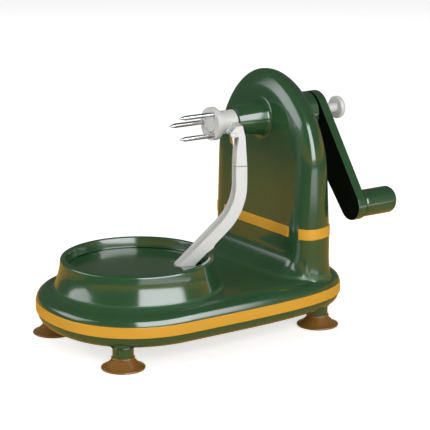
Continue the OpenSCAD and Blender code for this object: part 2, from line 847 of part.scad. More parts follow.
module shaft_bracket() {
    ear = bracket_screw_at[0][0] + screw_r + boss_wall + 0.5;
    neck_w = 2 * (shaft_r + bracket_wall);
    color(nylon) in_frame() difference() {
        translate([bracket_x, 0, bracket_z - bracket_h / 2]) {
            translate([0, -ear, 0]) cube([bracket_ear_t, 2 * ear, bracket_h]);
            translate([0, -neck_w / 2, 0]) cube([shaft_x + 2 * shaft_r - bracket_x, neck_w, bracket_h]);
        }
        post(shaft_at, bracket_z - bracket_h, bracket_z + bracket_h, shaft_r + running);
        for (at = bracket_screw_at)
            screw_hole([at[0], bracket_z], bracket_x - over, bracket_x + bracket_ear_t + over);
    }
}

module bracket_screws() {
    x = bracket_x + bracket_ear_t;
    color(steel) in_frame() for (at = bracket_screw_at)
        translate([x, at[0], bracket_z]) rotate([0, -90, 0]) screw(x - front_at(bracket_z) - wall);
}

module turntable_post() {
    color(nylon) in_frame() {
        post([0, 0], tray_z + 0.4, disc_z - disc_t - 1.5, pivot_r);
        post([0, 0], floor_z, hub_z - gear_step, hub_r);
    }
}

module idler_axle_a() {
    color(steel) in_frame() post(idler_a, tray_z + bore_floor, roof_z - over, axle_r);
}

module idler_axle_b() {
    color(steel) in_frame() post(idler_b, tray_z + bore_floor, layer_c + gear_t + 1.2, axle_r);
}

module axle_clips() {
    clip_t = 0.6;
    color(steel) in_frame()
        for (q = [[idler_a, layer_b + gear_t + 0.15, 0.3], [idler_b, layer_c + gear_t + 0.3, clip_t]])
            difference() {
                post(q[0], q[1], q[1] + q[2], axle_r + 1.6);
                post(q[0], q[1] - over, q[1] + over, axle_r + seat);
            }
}

module spindle() {
    color(steel) in_frame() difference() {
        union() {
            rod(spindle_front, shoulder_x, spindle_r);
            rod(shoulder_x, crank_face, spindle_rear_r);
        }
        rod(spindle_front - over, crank_face, rod_r + running);
        rod(spring_x, crank_face + over, stem_r + running);
        crank_flats(0);
    }
}

// Flats on the spindle's end that turn it with the crank
module crank_flats(gap) {
    for (side = [0, 180]) on_spindle(crank_x) rotate([0, 0, side])
        translate([spindle_rear_r - flat + gap, -boss_r, 0]) cube([flat + over, 2 * boss_r, crank_t + over]);
}

module spindle_bevel_gear() {
    color(nylon) in_frame() on_spindle(shaft_x) bevel(0, spindle_r + seat);
}

module shaft_bevel_gear() {
    color(nylon) in_frame() translate([shaft_x, 0, spindle_z]) mirror([0, 0, 1])
        bevel(180 / bevel_teeth, shaft_r + seat);
}

module vertical_shaft() {
    color(steel) in_frame() post(shaft_at, floor_z - bore_floor + gear_step, spindle_z - 5.5, shaft_r);
}

module shaft_pinion() {
    color(nylon) in_frame() difference() {
        translate([shaft_x, 0, 0]) spur(pinion_teeth, turn_to(shaft_at, idler_a), layer_a, layer_b);
        post(shaft_at, tray_z, band_top, shaft_r + seat);
    }
}

// Wheel that meets the gear at one place, with a pinion on top that meets the next
module idler_gear(at, before, after, z) {
    color(nylon) in_frame() difference() {
        translate([at[0], at[1], 0]) {
            spur(idler_teeth, turn_to(at, before) + 180 / idler_teeth, z, z + gear_t);
            spur(pinion_teeth, turn_to(at, after), z + gear_t - 0.01, z + 2 * gear_t + layer_gap);
        }
        post(at, z - over, z + 3 * gear_t, axle_r + running);
    }
}

module idler_gear_a() {
    idler_gear(idler_a, shaft_at, idler_b, layer_a);
}

module idler_gear_b() {
    idler_gear(idler_b, idler_a, [0, 0], layer_b);
}

// Turntable

module turntable_disc() {
    color(green) in_frame() difference() {
        union() {
            translate([0, 0, disc_z - disc_t]) cylinder(h = disc_t, r = disc_r, $fn = 96);
            post([0, 0], hub_z, disc_z - disc_t / 2, hub_r);
            post([0, 0], layer_c + gear_t, layer_c + gear_t + hub_flange_t, hub_flange_r);
            in_arm_plane() for (side = [-1, 1]) arm_ear(side);
        }
        post([0, 0], hub_z - over, disc_z - disc_t - 1, pivot_r + running);
        in_arm_plane() {
            arm_slot();
            arm_pin_cylinder(arm_pin_r + seat, -arm_w, arm_w);
        }
        for (at = table_screw_at) post(at, layer_c, layer_c + gear_t + hub_flange_t + over, screw_r + seat);
    }
}

module arm_ear(side) {
    y = side * (arm_w / 2 + pass + ear_t / 2);
    arm_slab(ear_t, y) {
        translate([arm_pin_rho - ear_r, arm_pin_z]) square([2 * ear_r, arm_pin_drop - disc_t / 2]);
        translate([arm_pin_rho, arm_pin_z]) circle(ear_r);
    }
}

module arm_slot() {
    end = lip_r - 2;
    start = arm_pin_rho - 1.8;
    low = disc_z - disc_t - over;
    high = disc_z + over;
    arm_slab(arm_w + 2 * pass) polygon([[start - over / tan(arm_slope), low], [end, low], [end, high],
        [start + (disc_t + over) / tan(arm_slope), high]]);
}

module turntable_gear() {
    color(nylon) in_frame() difference() {
        spur(table_teeth, turn_to([0, 0], idler_b) + 180 / table_teeth, layer_c, layer_c + gear_t);
        post([0, 0], layer_c - over, layer_c + 2 * gear_t, hub_r + seat);
        for (at = table_screw_at) {
            post(at, layer_c - over, layer_c + 2 * gear_t, screw_r + seat);
            post(at, layer_c - over, layer_c + head_t, head_r + seat);
        }
    }
}

module turntable_screws() {
    color(steel) in_frame() for (at = table_screw_at)
        translate([at[0], at[1], layer_c + head_t]) screw(gear_t - head_t + hub_flange_t);
}

module arm_pin() {
    end = arm_w / 2 + pass + ear_t;
    color(steel) in_frame() in_arm_plane() arm_pin_cylinder(arm_pin_r, -end, end);
}

// Strip of the arm between two offsets from its middle line, from height z up to the head
function arm_strip(inner, outer, z) =
    let (bend = arm_rho - arm_bend_r * (1 - sin(arm_slope)))
    let (bend_z = arm_pin_z + (bend - arm_pin_rho) * tan(arm_slope) + arm_bend_r * cos(arm_slope))
    let (low = [arm_pin_rho + (z - arm_pin_z) / tan(arm_slope), z])
    let (out = [sin(arm_slope), -cos(arm_slope)], x = arm_rho - arm_bend_r, n = 12)
    concat(
        [low + out * outer], arc(x, bend_z, arm_bend_r + outer, arm_slope - 90, 0, n),
        [[arm_rho + outer, head_z], [arm_rho + inner, head_z]],
        arc(x, bend_z, arm_bend_r + inner, 0, arm_slope - 90, n), [low + out * inner]);

module peeling_arm() {
    spring_room = 3.7;
    color(white) in_frame() in_arm_plane() difference() {
        union() {
            arm_slab(arm_w) polygon(arm_strip(-arm_t / 2, arm_t / 2, arm_pin_z));
            arm_slab(arm_w) translate([arm_pin_rho, arm_pin_z]) circle(knuckle_r);
            arm_slab(tongue_w) translate([arm_rho - tongue_t / 2, head_z - over])
                square([tongue_t, tongue_l + over]);
            heel();
        }
        arm_slab(channel_w) polygon(arm_strip(-arm_t / 2 - over, channel_d - arm_t / 2, disc_z + 6));
        arm_pin_cylinder(arm_pin_r + running, -arm_w, arm_w);
        arm_pin_cylinder(knuckle_r + 0.2, arm_w / 2 - spring_room, arm_w);
    }
}

// Small stop on the arm's outer face, above the drum's rim
module heel() {
    z = drum_top + heel_rise;
    rho = arm_pin_rho + (z - arm_pin_z) / tan(arm_slope) + arm_t / 2 / sin(arm_slope);
    arm_slab(arm_w)
        polygon([[rho - 3, z - 3], [rho + 0.3, z - 0.7], [rho + 0.9, z + 0.6], [rho + 1.4, z + 1.4]]);
}

module arm_spring() {
    room = 3.3;
    wire_r = arm_pin_r + 0.4 + arm_wire / 2;
    color(steel) in_frame() in_arm_plane()
        translate([arm_pin_rho, arm_w / 2 - room, arm_pin_z]) rotate([-90, 0, 0])
            skin(coil(wire_r, room, arm_spring_turns, arm_wire));
    echo(arm_spring_gap = coil_gap(room, arm_spring_turns, arm_wire));
}

module blade_head() {
    foot = head_z + head_gap;
    bend = head_z + head_h - head_bend;
    top = head_z + head_h;
    color(white) in_frame() in_arm_plane() difference() {
        union() {
            arm_slab(arm_w) polygon([[arm_rho - arm_t / 2, foot], [arm_rho + arm_t / 2, foot],
                [arm_rho + 1.9, bend], [arm_rho + 0.5, top], [arm_rho - 2.6, top],
                [arm_rho - 1.6, bend - 0.4], [arm_rho - 2.4, bend - 6]]);
            for (side = [-1, 1]) arm_slab(cheek_t, side * (arm_w / 2 - cheek_t / 2)) {
                translate([pivot_rho, pivot_z]) circle(1.7);
                polygon([[pivot_rho - 1.5, pivot_z + 0.8], [arm_rho - 1, bend - 0.6],
                    [arm_rho - 1, top - 1], [arm_rho - 2.6, top]]);
            }
        }
        arm_slab(tongue_w + 2 * seat) translate([arm_rho - tongue_t / 2 - seat, head_z - over])
            square([tongue_t + 2 * seat, tongue_l + over + seat]);
        blade_room();
        blade_pins(blade_pin_r + running, arm_w + over);
    }
}

// Room between the cheeks for the blade to rock
module blade_room() {
    arm_slab(arm_w - 2 * cheek_t) translate([pivot_rho, pivot_z]) circle(blade_roll_r + 2 * pass);
}

module blade_pins(r, w) {
    translate([pivot_rho, -w / 2, pivot_z]) rotate([-90, 0, 0]) cylinder(h = w, r = r);
}

module blade() {
    w = arm_w - 2 * cheek_t - 2 * pass;
    edge = 0.15;
    color(steel) in_frame() in_arm_plane() {
        arm_slab(w) {
            translate([pivot_rho, pivot_z]) circle(blade_roll_r);
            polygon([[pivot_rho - 0.8, pivot_z - 0.5], [pivot_rho - edge, pivot_z - blade_l],
                [pivot_rho + edge, pivot_z - blade_l], [pivot_rho + 0.6, pivot_z - 0.6]]);
        }
        blade_pins(blade_pin_r, arm_w - 0.4);
    }
}

// Fork, crank and ejector

function tine_at(k) = let (t = 360 * k / tine_count) tine_circle_r * [cos(t), sin(t)];

module fork_hub() {
    color(white) in_frame() difference() {
        union() {
            rod(fork_front, fork_rear, fork_r);
            rod(fork_front, fork_front + flange_t, flange_r);
        }
        rod(fork_front - over, fork_front + plate_recess, plate_r + pass);
        rod(fork_front, fork_rear + over, spindle_r + seat);
        for (k = [0:tine_count - 1]) across_spindle(fork_front - over, fork_front + tine_seat)
            translate(tine_at(k)) circle(tine_r + seat);
    }
}

module fork_tines() {
    point = 4;
    color(steel) in_frame() for (k = [0:tine_count - 1])
        translate([0, tine_at(k)[0], tine_at(k)[1]]) on_spindle(fork_front + tine_seat) mirror([0, 0, 1]) {
            cylinder(h = tine_l + tine_seat - point, r = tine_r);
            translate([0, 0, tine_l + tine_seat - point]) cylinder(h = point, r1 = tine_r, r2 = 0.15);
        }
}

// Outline of the crank arm: two circles and their tangents, the large one at the origin
function crank_outline() =
    let (t = acos((crank_hub_r - crank_tip_r) / crank_l))
    concat(arc(0, 0, crank_hub_r, t, 360 - t, 24), arc(crank_l, 0, crank_tip_r, -t, t, 16));

module crank_arm() {
    grip_at = crank_l * [cos(crank_rest), sin(crank_rest)];
    color(green) in_frame() difference() {
        across_spindle(crank_x, crank_face) rotate(crank_rest) polygon(crank_outline());
        difference() {
            rod(crank_x - over, crank_face + over, spindle_rear_r + seat);
            crank_flats(seat);
        }
        across_spindle(crank_x + crank_back, crank_face + over) translate(grip_at) circle(grip_pin_r + seat);
    }
}

module on_grip(x) {
    translate([0, crank_l * cos(crank_rest), crank_l * sin(crank_rest)]) on_spindle(x) children();
}

module grip_pin() {
    root = grip_x - crank_x - crank_back;
    color(steel) in_frame() on_grip(grip_x) {
        translate([0, 0, -root]) cylinder(h = grip_l - grip_wall + root, r = grip_pin_r);
        translate([0, 0, crank_face - grip_x]) cylinder(h = grip_gap - gear_step, r = grip_r - 1.4);
        translate([0, 0, bead_z - 0.8]) cylinder(h = 1.6, r = grip_pin_r + bead);
    }
}

module handle_grip() {
    edge = 3;
    foot = 0.7;
    color(green) in_frame() on_grip(grip_x) difference() {
        rotate_extrude() polygon(concat(
            [[0, 0], [grip_r - foot, 0], [grip_r, foot]],
            arc(grip_r - edge, grip_l - edge, edge, 0, 90), [[0, grip_l]]));
        translate([0, 0, -over]) cylinder(h = grip_l - grip_wall + over + pass, r = grip_pin_r + running);
        translate([0, 0, bead_z - 1]) cylinder(h = 2, r = grip_pin_r + bead + running);
    }
}

module ejector_button() {
    dome = 1.8;
    color(white) in_frame() difference() {
        union() {
            rod(stem_front, button_x + over, stem_r);
            on_spindle(button_x) rotate_extrude() polygon(concat(
                [[0, 0]], arc(button_r - dome / 2, dome / 2, dome / 2, -90, 0),
                arc(button_r - dome, button_t - dome, dome, 0, 90), [[0, button_t]]));
        }
        rod(stem_front - over, button_x - rod_seat, rod_r + seat);
    }
}

module ejector_rod() {
    color(steel) in_frame() rod(fork_front + plate_face, button_x - rod_seat, rod_r);
}

module ejector_plate() {
    color(white) in_frame() difference() {
        rod(fork_front, fork_front + plate_t, plate_r);
        rod(fork_front + plate_face, fork_front + plate_t + over, rod_r + seat);
    }
}

module ejector_spring() {
    end_gap = 0.1;
    h = stem_front - spring_x - 2 * end_gap;
    wire_r = (rod_r + stem_r) / 2;
    color(steel) in_frame() on_spindle(spring_x + end_gap)
        skin(coil(wire_r, h, ejector_turns, ejector_wire));
    echo(ejector_spring_gap = coil_gap(h, ejector_turns, ejector_wire));
}

base_top_shell();
base_tray();
base_trim_band();
tower_housing();
tower_back_cover();
tower_front_trim();
tower_side_trim();
front_left_cup();
front_right_cup();
rear_left_cup();
rear_right_cup();
tray_screws();
cover_screws();
front_bush();
rear_bush();
shaft_bracket();
bracket_screws();
turntable_post();
idler_axle_a();
idler_axle_b();
axle_clips();
spindle();
spindle_bevel_gear();
fork_hub();
fork_tines();
crank_arm();
grip_pin();
handle_grip();
ejector_button();
ejector_rod();
ejector_plate();
ejector_spring();
vertical_shaft();
shaft_bevel_gear();
shaft_pinion();
idler_gear_a();
idler_gear_b();
turntable_disc();
turntable_gear();
turntable_screws();
arm_pin();
peeling_arm();
arm_spring();
blade_head();
blade();
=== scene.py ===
# %% [markdown]
# # A hand-cranked peeler
# The peeler stands on four suction cups. A crank turns a fork, and gears inside the tower and the base carry
# a white arm with a blade slowly round the drum. The construction comes packed, with every solid in place,
# so this lesson only dresses it: it rounds what a mould would round, and gives each piece its finish.

# %% Load the construction
import json
from math import cos, pi, radians, sin, tan

import bmesh
import bpy
from mathutils import Matrix, Vector


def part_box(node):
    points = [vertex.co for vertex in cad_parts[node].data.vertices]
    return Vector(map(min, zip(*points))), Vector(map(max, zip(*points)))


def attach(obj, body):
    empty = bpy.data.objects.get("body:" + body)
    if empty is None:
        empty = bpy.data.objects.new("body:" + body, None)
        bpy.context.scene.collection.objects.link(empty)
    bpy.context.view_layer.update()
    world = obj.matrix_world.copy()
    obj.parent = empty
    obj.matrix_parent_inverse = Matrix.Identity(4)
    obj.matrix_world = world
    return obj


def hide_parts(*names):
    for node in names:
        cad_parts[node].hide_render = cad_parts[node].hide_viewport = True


MM = 0.001
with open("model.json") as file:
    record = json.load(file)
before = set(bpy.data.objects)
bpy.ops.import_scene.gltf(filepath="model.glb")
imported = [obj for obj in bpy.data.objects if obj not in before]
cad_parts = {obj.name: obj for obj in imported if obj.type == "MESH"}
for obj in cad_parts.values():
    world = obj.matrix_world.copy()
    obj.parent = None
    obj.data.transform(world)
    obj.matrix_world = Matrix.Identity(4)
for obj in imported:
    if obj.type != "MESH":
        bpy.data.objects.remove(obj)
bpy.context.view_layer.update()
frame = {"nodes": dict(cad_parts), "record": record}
scene = bpy.context.scene

# %% [markdown]
# ## The camera
# The photograph was taken with a long lens, from the left of the front and a little above. The direction, the
# distance and the lens were found by matching the base's oval, the cups and the tower's arch, so they are
# written here as a real camera would be set up: where it stands, what it looks at, and its focal length.

# %% Set up the camera
AIM = Vector((0.0017, -0.0045, 0.0594))
CAMERA_TURN = -34.477
CAMERA_RISE = 14.248
CAMERA_DISTANCE = 0.908
CAMERA_LENS = 148.9


def direction(turn, rise):
    """Unit vector from the peeler towards a place that is turned from the front and raised, in degrees."""
    t = radians(turn)
    r = radians(rise)
    return Vector((sin(t) * cos(r), -cos(t) * cos(r), sin(r)))


def face_towards(thing, place, target):
    """Put a camera or lamp at place, looking at target."""
    thing.location = place
    thing.rotation_euler = (place - target).to_track_quat("Z", "Y").to_euler()


camera = bpy.data.objects.new("camera", bpy.data.cameras.new("camera"))
camera.data.lens = CAMERA_LENS
face_towards(camera, AIM + CAMERA_DISTANCE * direction(CAMERA_TURN, CAMERA_RISE), AIM)
scene.collection.objects.link(camera)
scene.camera = camera
print("camera at", [round(v, 3) for v in camera.location])

# %% [markdown]
# ## A way to write materials
# A finish is a small program of nodes. Wiring each node by hand hides what it does, so a wire is wrapped in a
# class that understands sums: with it, `0.1 + 0.05 * grain` adds the Math nodes by itself.


# %% Wires and sheets of nodes
def socket_of(sockets, key):
    """A socket by its number or name, or by its identifier where several share a name."""
    named = [socket for socket in sockets if socket.identifier == key]
    return named[0] if named else sockets[key]


class Wire:
    """An output socket that can be used in sums."""

    def __init__(self, sheet, socket):
        self.sheet = sheet
        self.socket = socket

    def _sum(self, operation, first, second):
        return self.sheet.node("ShaderNodeMath", {"operation": operation}, {0: first, 1: second})

    def __add__(self, other):
        return self._sum("ADD", self, other)

    def __radd__(self, other):
        return self._sum("ADD", other, self)

    def __sub__(self, other):
        return self._sum("SUBTRACT", self, other)

    def __rsub__(self, other):
        return self._sum("SUBTRACT", other, self)

    def __mul__(self, other):
        return self._sum("MULTIPLY", self, other)

    def __rmul__(self, other):
        return self._sum("MULTIPLY", other, self)


class Sheet:
    """The nodes of one material, round its shader."""

    def __init__(self, name):
        self.material = bpy.data.materials.new(name)
        self.material.use_nodes = True
        self._wrap(self.material.node_tree, "Principled BSDF")
        self.place = self.node("ShaderNodeTexCoord", {}, {}, "Object")

    @classmethod
    def of_tree(cls, tree, shader):
        """The nodes of something else that has a tree, such as the world."""
        sheet = cls.__new__(cls)
        sheet._wrap(tree, shader)
        return sheet

    def _wrap(self, tree, shader):
        self.tree = tree
        self.shader = tree.nodes[shader]

    def _connect(self, node, key, value):
        socket = socket_of(node.inputs, key)
        if isinstance(value, Wire):
            self.tree.links.new(value.socket, socket)
        else:
            socket.default_value = value

    def node(self, kind, settings, inputs, output=0):
        """Add a node: its settings first, then values or wires for its sockets. Gives one output."""
        made = self.tree.nodes.new(kind)
        for key, value in settings.items():
            setattr(made, key, value)
        for key, value in inputs.items():
            self._connect(made, key, value)
        return Wire(self, socket_of(made.outputs, output))

    def noise(self, size, detail=2.0, stretch=(1, 1, 1)):
        """Cloudy noise whose blots are about size millimetres wide."""
        scale = [s / (size * MM) for s in stretch]
        place = self.node("ShaderNodeVectorMath", {"operation": "MULTIPLY"}, {0: self.place, 1: scale})
        return self.node("ShaderNodeTexNoise", {}, {"Vector": place, "Scale": 1.0, "Detail": detail})

    def mix(self, amount, first, second):
        """Blend two colours."""
        colours = {"Factor_Float": amount, "A_Color": (*first, 1), "B_Color": (*second, 1)}
        return self.node("ShaderNodeMix", {"data_type": "RGBA"}, colours, "Result_Color")

    def along(self, axis):
        """One coordinate of the place, in metres."""
        return self.node("ShaderNodeSeparateXYZ", {}, {0: self.place}, axis)

    def ramp(self, value, low, high):
        """Zero at low, one at high, and smooth between."""
        settings = {"interpolation_type": "SMOOTHSTEP"}
        return self.node("ShaderNodeMapRange", settings, {"Value": value, "From Min": low, "From Max": high})

    def set(self, **inputs):
        """Set the shader's sockets; Base_Color stands for Base Color."""
        for key, value in inputs.items():
            self._connect(self.shader, key.replace("_", " "), value)

    def bump(self, height, depth):
        """Let a height in millimetres tilt the surface."""
        relief = {"Height": height, "Distance": depth * MM, "Strength": 1.0}
        self.set(Normal=self.node("ShaderNodeBump", {}, relief))


# %% [markdown]
# ## Finishes
# The shells are glossy moulded plastic, so deep green that most of what shows is reflection. A mould is never
# quite a mirror: a faint orange peel bends the reflections, handling leaves the gloss uneven, and fine dust
# dulls the flat top of the base, so the green there is paler and has less of its clear coat. The amber
# trim is the same plastic with a satin face, the cups are soft and let light in, and the white pieces are a
# duller nylon.


# %% Finishes for plastic
CLOUD_SIZE = 22
HAZE_SIZE = 6
HAZE_DETAIL = 3.0
HAZE_DEPTH = 0.08
PEEL_SIZE = 2.2
PEEL_DETAIL = 1.0


def uneven(sheet, gloss):
    """Roughness that handling has left a little uneven."""
    return gloss + HAZE_DEPTH * sheet.noise(HAZE_SIZE, HAZE_DETAIL)


def moulded(name, colour, tint, gloss, peel):
    """Moulded plastic: cloudy colour between two tones, uneven gloss and a fine orange peel."""
    sheet = Sheet(name)
    cloudy = sheet.mix(sheet.noise(CLOUD_SIZE), colour, tint)
    sheet.set(Base_Color=cloudy, Roughness=uneven(sheet, gloss))
    sheet.bump(sheet.noise(PEEL_SIZE, PEEL_DETAIL), peel)
    return sheet


GREEN = (0.022, 0.076, 0.027)
GREEN_PALE = (0.036, 0.110, 0.043)
GREEN_GLOSS = 0.14
GREEN_CLOUD = 0.5
DUST_FROM = (0.0270, 0.0284)
DUST_TO = (0.0310, 0.0290)
DUST_PALE = 0.6
DUST_COAT = 0.7
DUST_ROUGH = 0.26
green = moulded("green_plastic", GREEN, GREEN_PALE, gloss=GREEN_GLOSS, peel=0.004)
height = green.along("Z")
dusty = green.ramp(height, *DUST_FROM) * green.ramp(height, *DUST_TO)
pale = GREEN_CLOUD * green.noise(CLOUD_SIZE) + DUST_PALE * dusty
green.set(Base_Color=green.mix(pale, GREEN, GREEN_PALE), Coat_Weight=1 - DUST_COAT * dusty)
green.set(Roughness=uneven(green, GREEN_GLOSS) + DUST_ROUGH * dusty)
green.set(Coat_Roughness=0.09, Coat_IOR=1.6, IOR=1.5)
# Near-black, dull green: painted shade for the crank's inner face, which lies in the tower's shade.
painted_shade_plastic = moulded("painted_shade_green", (0.002, 0.005, 0.002), (0.003, 0.007, 0.003), gloss=0.75, peel=0.01)
painted_shade_plastic.set(Specular_IOR_Level=0.1)
amber = moulded("amber_trim", (0.74, 0.36, 0.026), (0.82, 0.42, 0.036), gloss=0.26, peel=0.005)
white = moulded("white_nylon", (0.74, 0.74, 0.715), (0.80, 0.80, 0.78), gloss=0.30, peel=0.006)
white.set(Subsurface_Weight=0.06, Subsurface_Scale=0.002)
natural = moulded("gear_nylon", (0.66, 0.64, 0.56), (0.74, 0.72, 0.65), gloss=0.42, peel=0.01)
cup_rubber = moulded("amber_cup", (0.20, 0.085, 0.015), (0.34, 0.160, 0.034), gloss=0.24, peel=0.004)
cup_rubber.set(Subsurface_Weight=0.35, Subsurface_Scale=0.003, Subsurface_Radius=(1.0, 0.45, 0.12))
cup_rubber.set(Coat_Weight=0.8, Coat_Roughness=0.16)
plastics = (green, painted_shade_plastic, amber, white, natural, cup_rubber)
print("plastics:", ", ".join(sheet.material.name for sheet in plastics))

# %% Finishes for metal
MARK_SIZE = 0.5
MARK_STRETCH = (1, 0.2, 0.2)
MARK_ROUGH = 0.12
MARK_DEPTH = 0.003
TARNISH_SIZE = 9


def turned_metal(name, colour, tint, gloss):
    """Bare metal with fine turning marks and a cloudy tarnish."""
    sheet = Sheet(name)
    lines = sheet.noise(MARK_SIZE, stretch=MARK_STRETCH)
    sheet.set(Base_Color=sheet.mix(sheet.noise(TARNISH_SIZE), colour, tint), Metallic=1.0)
    sheet.set(Roughness=gloss + MARK_ROUGH * lines)
    sheet.bump(lines, MARK_DEPTH)
    return sheet


steel = turned_metal("steel", (0.56, 0.57, 0.59), (0.68, 0.69, 0.70), gloss=0.18)
bronze = turned_metal("bronze", (0.48, 0.33, 0.15), (0.58, 0.41, 0.20), gloss=0.34)

# %% Put the finishes on
finishes = {
    "green_plastic": green, "amber_trim": amber, "amber_cup": cup_rubber, "white_plastic": white,
    "gear_nylon": natural, "steel": steel, "bronze": bronze,
}
slot_of = {part["node"]: part["material_slot"] for part in frame["record"]["subparts"]}
body_of = {node: body for body, nodes in frame["record"]["behaviour"]["bodies"].items() for node in nodes}
for node, thing in frame["nodes"].items():
    thing.data.materials.clear()
    thing.data.materials.append(finishes[slot_of[node]].material)
print(len(finishes), "finishes on", len(frame["nodes"]), "solids")

# %% [markdown]
# ## Smooth shells
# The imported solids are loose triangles, which would show as facets in a glossy finish. Modelling the shells
# again would risk moving a wall. So a shell is copied, its triangles are joined, and the edges that turn
# sharply are rounded as a mould would round them. The rest is shaded smooth, and flat faces stay flat.

# %% Helpers for pieces
SHARP = 32
BEVEL_STEPS = 3
JOIN_WITHIN = 0.002 * MM
SLIVER = 0.001 * MM
FLAT_WITHIN = 0.4


def soften(bm, width):
    """Round the edges that turn by more than SHARP degrees, by width millimetres."""
    corners = [edge for edge in bm.edges if edge.is_manifold and edge.calc_face_angle() > radians(SHARP)]
    bmesh.ops.bevel(
        bm, geom=corners, offset=width * MM, offset_type="OFFSET", affect="EDGES", segments=BEVEL_STEPS,
        profile=0.5, clamp_overlap=True, material=-1)


def joined_copy(node):
    """The solid of a node with its triangles joined, and flat stretches made one face."""
    bm = bmesh.new()
    bm.from_mesh(frame["nodes"][node].data)
    bmesh.ops.remove_doubles(bm, verts=bm.verts, dist=JOIN_WITHIN)
    bmesh.ops.dissolve_degenerate(bm, edges=bm.edges, dist=SLIVER)
    bmesh.ops.dissolve_limit(bm, angle_limit=radians(FLAT_WITHIN), verts=bm.verts, edges=bm.edges)
    return bm


def add_piece(name, bm, *nodes):
    """Turn a bmesh into a piece that stands for nodes, and takes its body and finish from the first."""
    for face in bm.faces:
        face.smooth = True
    for edge in bm.edges:
        edge.smooth = edge.is_manifold and edge.calc_face_angle() < radians(SHARP)
    mesh = bpy.data.meshes.new(name)
    bm.to_mesh(mesh)
    bm.free()
    piece = bpy.data.objects.new(name, mesh)
    scene.collection.objects.link(piece)
    mesh.materials.append(finishes[slot_of[nodes[0]]].material)
    flat = piece.modifiers.new("flat faces stay flat", "WEIGHTED_NORMAL")
    flat.keep_sharp = True
    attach(piece, body_of[nodes[0]])
    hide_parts(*nodes)
    print(name, len(mesh.polygons), "faces")


# %% Copy the shells
EDGE_ROUND = {
    "base_top_shell": 0, "base_tray": 0, "tower_housing": 0, "tower_back_cover": 0, "turntable_disc": 0.25,
    "base_trim_band": 0.4, "tower_front_trim": 0.35, "tower_side_trim": 0.35, "crank_arm": 0.9,
    "peeling_arm": 0.45, "blade_head": 0.35, "fork_hub": 0.5, "ejector_plate": 0.3, "blade": 0,
    "fork_tines": 0, "front_bush": 0.2, "rear_bush": 0.2, "spindle": 0, "grip_pin": 0, "turntable_post": 0.2,
}
for node, width in EDGE_ROUND.items():
    shell = joined_copy(node)
    if width:
        soften(shell, width)
    add_piece(node + "_skin", shell, node)

# %% [markdown]
# ## The crank's inner face
# The face of the crank that looks at the tower lies in deep shade and shows nearly black. That shade is
# painted on: the face gets a near-black, dull colour without the gloss of the other faces.

# %% Paint the shade on the crank's inner face
INNER_FACING = -0.95
crank = bpy.data.objects["crank_arm_skin"].data
crank.materials.append(painted_shade_plastic.material)
# Faces that look at the tower get the painted shade instead of the glossy green.
inner_faces = [face for face in crank.polygons if face.normal.x < INNER_FACING]
for face in inner_faces:
    face.material_index = 1
print("dull faces on the crank:", len(inner_faces))

# %% [markdown]
# ## Suction cups
# Each foot is a cup of soft amber rubber, pressed onto a post by its stud. Such a cup is a body of
# revolution, so half of its section is drawn once and spun. The section has what a plain cone lacks: a thick
# lip that lies flat on the table, a thin wall that bends in above it, and a collar under the post.


# %% Helpers for turned shapes
TURN_STEPS = 72


def turned(profile, middle, axis):
    """A body of revolution: profile holds (radius, height) in millimetres, height along axis from middle."""
    axis = Vector(axis)
    side = axis.orthogonal().normalized()
    bm = bmesh.new()
    points = [bm.verts.new(middle + MM * (r * side + h * axis)) for r, h in profile]
    edges = [bm.edges.new(pair) for pair in zip(points, points[1:])]
    bmesh.ops.spin(
        bm, geom=points + edges, cent=middle, axis=axis, dvec=(0, 0, 0), angle=2 * pi, steps=TURN_STEPS,
        use_merge=True, use_normal_flip=False, use_duplicate=False)
    bmesh.ops.remove_doubles(bm, verts=bm.verts, dist=SLIVER)
    bmesh.ops.recalc_face_normals(bm, faces=bm.faces)
    return bm


def rounded(r, h, radius, start, end, steps=6):
    """Points on an arc about (r, h), angles in degrees."""
    turns = [radians(start + (end - start) * i / steps) for i in range(steps + 1)]
    return [(r + radius * cos(t), h + radius * sin(t)) for t in turns]


# %% Spin the cups
CUP_WALL = 1.1
CUP_ROOF = 2.6
CUP_LIP = 0.55
LIP_STEP = 0.5
LIP_RISE = 0.1
CUP_BEND = 1.35
CUP_TOP = 0.9
COLLAR_R = 0.5
COLLAR_OUT = 0.05
STUD_R = 2.5
CUP_STEPS = 10


def cup_profile(radius, neck, height, stud):
    """Half of a cup's section, from the hollow's middle out over the lip to the top of the stud."""
    shares = [i / CUP_STEPS for i in range(CUP_STEPS + 1)]
    hollow = height - CUP_ROOF
    inside = [((radius - CUP_WALL) * t, hollow * (1 - t ** 2)) for t in shares]
    lip = rounded(radius - CUP_LIP, CUP_LIP, CUP_LIP, -90, 70)
    foot_r, foot_z = lip[-1][0] - LIP_STEP, 2 * CUP_LIP + LIP_RISE
    wall_h = height - CUP_TOP - foot_z
    outside = [(foot_r + (neck - foot_r) * t, foot_z + wall_h * t ** CUP_BEND) for t in shares]
    collar = rounded(neck + COLLAR_OUT, height - COLLAR_R, COLLAR_R, -60, 90, 5)
    return inside + lip + outside + collar + [(STUD_R, height), (STUD_R, stud), (0, stud)]


CUP_H = 6.0
CUP_NECK = 5.3
for node in ("front_left_cup", "front_right_cup", "rear_left_cup", "rear_right_cup"):
    low, high = (Vector(corner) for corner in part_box(node))
    foot = Vector(((low.x + high.x) / 2, (low.y + high.y) / 2, 0))
    profile = cup_profile((high.x - low.x) / 2 / MM, CUP_NECK, CUP_H, high.z / MM)
    add_piece(node + "_rubber", turned(profile, foot, (0, 0, 1)), node)

# %% [markdown]
# ## Grip and button
# The grip turns on its pin, so it is a turned shape too: a round shoulder at the crank, which leaves a dark
# line there, and a soft end for the palm. The white button is the end of the ejector: pressed, it moves the
# ejector's plate forward along the fork.

